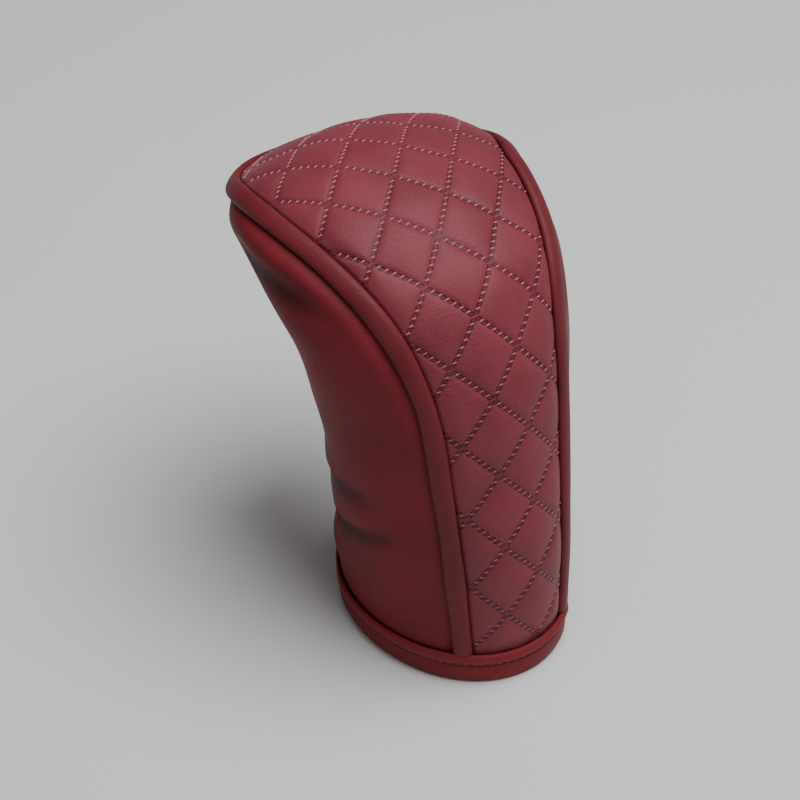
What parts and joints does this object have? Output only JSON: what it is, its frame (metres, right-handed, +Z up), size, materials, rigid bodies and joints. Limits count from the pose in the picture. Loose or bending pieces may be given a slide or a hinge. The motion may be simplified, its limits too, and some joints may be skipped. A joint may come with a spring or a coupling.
{
  "type": "golf driver head cover",
  "caption": "Padded slip-on hood for a golf driver head, with a quilted back, smooth sides, a rolled welt and a folded hem round the neck opening.",
  "frame": {"origin": "on the ground under the middle of the cover's length and width, at the lowest face of the hem", "axes": "+Z up from the hem to the crown, +X towards the quilted back, -X towards the overhanging nose, +Y across to the right side panel; the cover mirrors in the plane y = 0"},
  "size_m": [0.2161, 0.149, 0.2337],
  "materials": {
    "quilted_leather": "soft satin, fine grain, quilted in diamonds",
    "smooth_leather": "soft satin, fine grain",
    "welt_leather": "soft satin",
    "hem_leather": "soft satin",
    "thread": "dusty pink polyester thread",
    "batting": "open foam",
    "lining": "short fleece",
    "cotton_cord": "cotton filler cord"
  },
  "bodies": {
    "root": {"quilted_panel": "quilted_leather", "left_side_panel": "smooth_leather", "right_side_panel": "smooth_leather", "welt_cover": "welt_leather", "welt_cord": "cotton_cord", "hem_band": "hem_leather", "hem_thread": "thread", "crown_batting": "batting", "left_batting": "batting", "right_batting": "batting", "crown_lining": "lining", "left_lining": "lining", "right_lining": "lining"}
  },
  "joints": []
}
